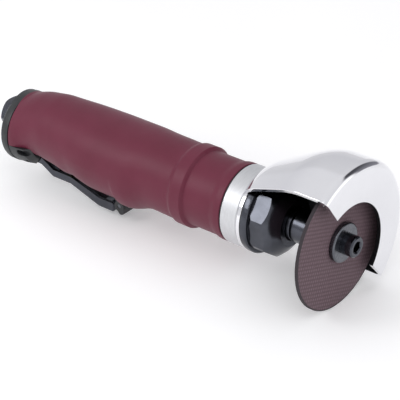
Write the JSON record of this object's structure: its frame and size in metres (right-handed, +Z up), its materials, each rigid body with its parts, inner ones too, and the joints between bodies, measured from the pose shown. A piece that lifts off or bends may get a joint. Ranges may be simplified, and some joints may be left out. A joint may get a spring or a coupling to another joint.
{
  "type": "pneumatic cut off tool",
  "caption": "Straight pneumatic cut off tool with a burgundy grip, throttle lever below, bright swivelling wheel guard and a thin abrasive wheel on the spindle.",
  "frame": {"origin": "centre of the air inlet's mouth at the rear end", "axes": "+X along the tool's axis from the inlet to the wheel, +Z up, the throttle lever below at -Z"},
  "size_m": [0.2414, 0.0836, 0.0836],
  "materials": {
    "burgundy_grip": "matte moulded, burgundy",
    "bright_housing": "turned bright",
    "chrome_guard": "polished chrome",
    "black_steel": "blackened, satin",
    "black_plastic": "black, matte",
    "black_rubber": "black, matte",
    "felt": "grey felt",
    "brass": "turned brass",
    "white_plastic": "white, smooth",
    "steel": "ground steel",
    "vane_resin": "brown fibre resin",
    "wheel_abrasive": "brown resin with woven glass",
    "grey_steel": "dark grey, satin"
  },
  "bodies": {
    "housing": {"motor_housing": "bright_housing", "grip_sleeve": "burgundy_grip", "grip_gasket": "black_rubber", "rear_cap": "black_plastic", "exhaust_muffler": "felt", "inlet_bushing": "black_steel", "inlet_screen": "brass", "inlet_o_ring": "black_rubber", "valve_bushing": "brass", "valve_seat": "white_plastic", "stem_o_ring": "black_rubber", "valve_spring": "steel", "lever_pin": "black_steel", "motor_cylinder": "steel", "rear_end_plate": "steel", "front_end_plate": "steel", "cylinder_pin": "steel", "rear_bearing_outer_race": "steel", "front_bearing_outer_race": "steel", "preload_washer": "steel", "clamp_nut": "black_steel", "dust_seal": "felt"},
    "guard": {"wheel_guard": "chrome_guard"},
    "spindle": {"rotor": "steel", "vane_1": "vane_resin", "vane_2": "vane_resin", "vane_3": "vane_resin", "vane_4": "vane_resin", "vane_5": "vane_resin", "rear_bearing_inner_race": "steel", "front_bearing_inner_race": "steel", "arbor_hub": "black_steel", "cutting_wheel": "wheel_abrasive", "outer_flange": "grey_steel", "arbor_screw": "black_steel"},
    "rear_ball_set": {"rear_bearing_balls": "steel", "rear_bearing_cage": "brass"},
    "front_ball_set": {"front_bearing_balls": "steel", "front_bearing_cage": "brass"},
    "throttle_lever": {"throttle_lever": "black_steel", "lock_pin": "grey_steel", "lock_spring": "steel"},
    "lock_lever": {"lock_lever": "black_plastic"},
    "valve_stem": {"valve_stem": "steel"}
  },
  "joints": [
    {"name": "spindle_spin", "type": "hinge", "parent": "housing", "child": "spindle", "pos_m": [0.2015, 0, 0], "axis": [1, 0, 0], "continuous": true},
    {"name": "rear_cage_spin", "type": "hinge", "parent": "housing", "child": "rear_ball_set", "pos_m": [0.0929, 0, 0], "axis": [1, 0, 0], "continuous": true},
    {"name": "front_cage_spin", "type": "hinge", "parent": "housing", "child": "front_ball_set", "pos_m": [0.1505, 0, 0], "axis": [1, 0, 0], "continuous": true},
    {"name": "guard_swivel", "type": "hinge", "parent": "housing", "child": "guard", "pos_m": [0.1815, 0, 0], "axis": [1, 0, 0], "range_deg": [-180, 180]},
    {"name": "throttle_press", "type": "hinge", "parent": "housing", "child": "throttle_lever", "pos_m": [0.025, 0, -0.019], "axis": [0, -1, 0], "range_deg": [0, 5.5], "stiffness_Nm_per_rad": 2, "springref_deg": -22.92},
    {"name": "lock_fold", "type": "hinge", "parent": "throttle_lever", "child": "lock_lever", "pos_m": [0.088, 0, -0.0282], "axis": [0, -1, 0], "range_deg": [0, 46.5], "deforming": ["lock_spring"]},
    {"name": "valve_slide", "type": "slide", "parent": "housing", "child": "valve_stem", "axis": [0, 0, 1], "range_m": [0, 0.0022], "deforming": ["valve_spring"]}
  ],
  "couplings": [
    {"joint": "rear_cage_spin", "follows": "spindle_spin", "ratio": 0.3651},
    {"joint": "front_cage_spin", "follows": "spindle_spin", "ratio": 0.3722},
    {"joint": "lock_fold", "follows": "throttle_press", "ratio": 8.18},
    {"joint": "valve_slide", "follows": "throttle_press", "m_per_rad": 0.0225}
  ]
}
